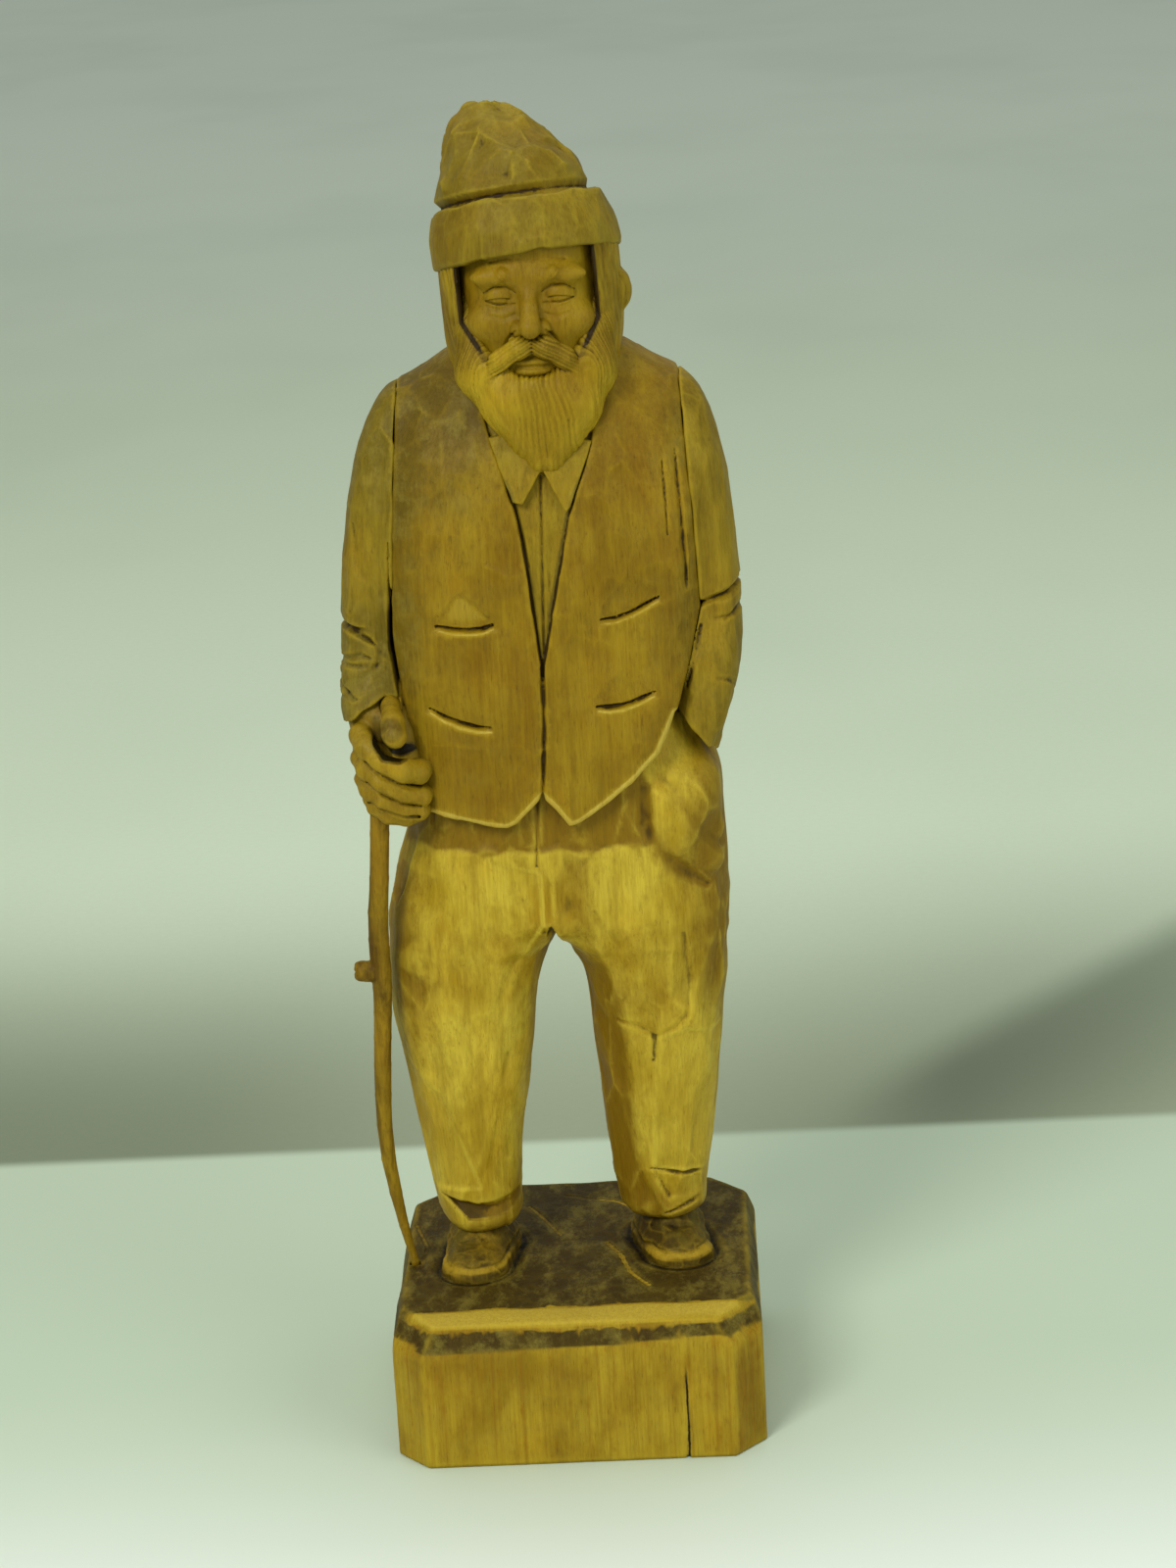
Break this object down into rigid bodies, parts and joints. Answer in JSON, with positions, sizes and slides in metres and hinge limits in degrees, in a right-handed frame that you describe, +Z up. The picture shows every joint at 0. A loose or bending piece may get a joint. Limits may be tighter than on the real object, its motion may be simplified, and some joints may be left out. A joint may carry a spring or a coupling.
{
  "type": "carved wooden figurine",
  "caption": "Carved wooden figurine of an old man in a knit cap and waistcoat, standing on a block base and leaning on a loose stick.",
  "frame": {"origin": "middle of the base block's underside, where the figurine stands", "axes": "+Z up, the figure faces -Y, +X is the figure's left"},
  "size_m": [0.1023, 0.094, 0.3387],
  "materials": {
    "stained_ground": "dark stained top and rim with raw sawn sides, matt",
    "trouser_wood": "raw pale wood, knife-cut, hand-worn satin",
    "waistcoat_wood": "darker worn wood with small gouge marks, satin",
    "sleeve_wood": "raw wood with broad knife cuts, satin",
    "hand_wood": "raw wood, handled, satin",
    "face_wood": "raw wood, smooth-cut, satin",
    "beard_wood": "raw wood with fine V-cut strands",
    "cap_wood": "raw wood with broad facets and grey handling grime",
    "shoe_wood": "raw wood, dusty and darkened, matt",
    "stick_wood": "whittled twig, bark off, satin"
  },
  "bodies": {
    "carving": {"base": "stained_ground", "right_shoe": "shoe_wood", "left_shoe": "shoe_wood", "right_leg": "trouser_wood", "left_leg": "trouser_wood", "trouser_seat": "trouser_wood", "waistcoat": "waistcoat_wood", "shirt_front": "sleeve_wood", "right_sleeve": "sleeve_wood", "left_sleeve": "sleeve_wood", "right_fist": "hand_wood", "face": "face_wood", "beard": "beard_wood", "hair": "beard_wood", "cap_band": "cap_wood", "cap_crown": "cap_wood"},
    "stick": {"stick": "stick_wood"}
  },
  "joints": [
    {"name": "stick_lift", "type": "slide", "parent": "carving", "child": "stick", "axis": [0.0822, -0.107, 0.9909], "range_m": [0, 0.005]}
  ]
}
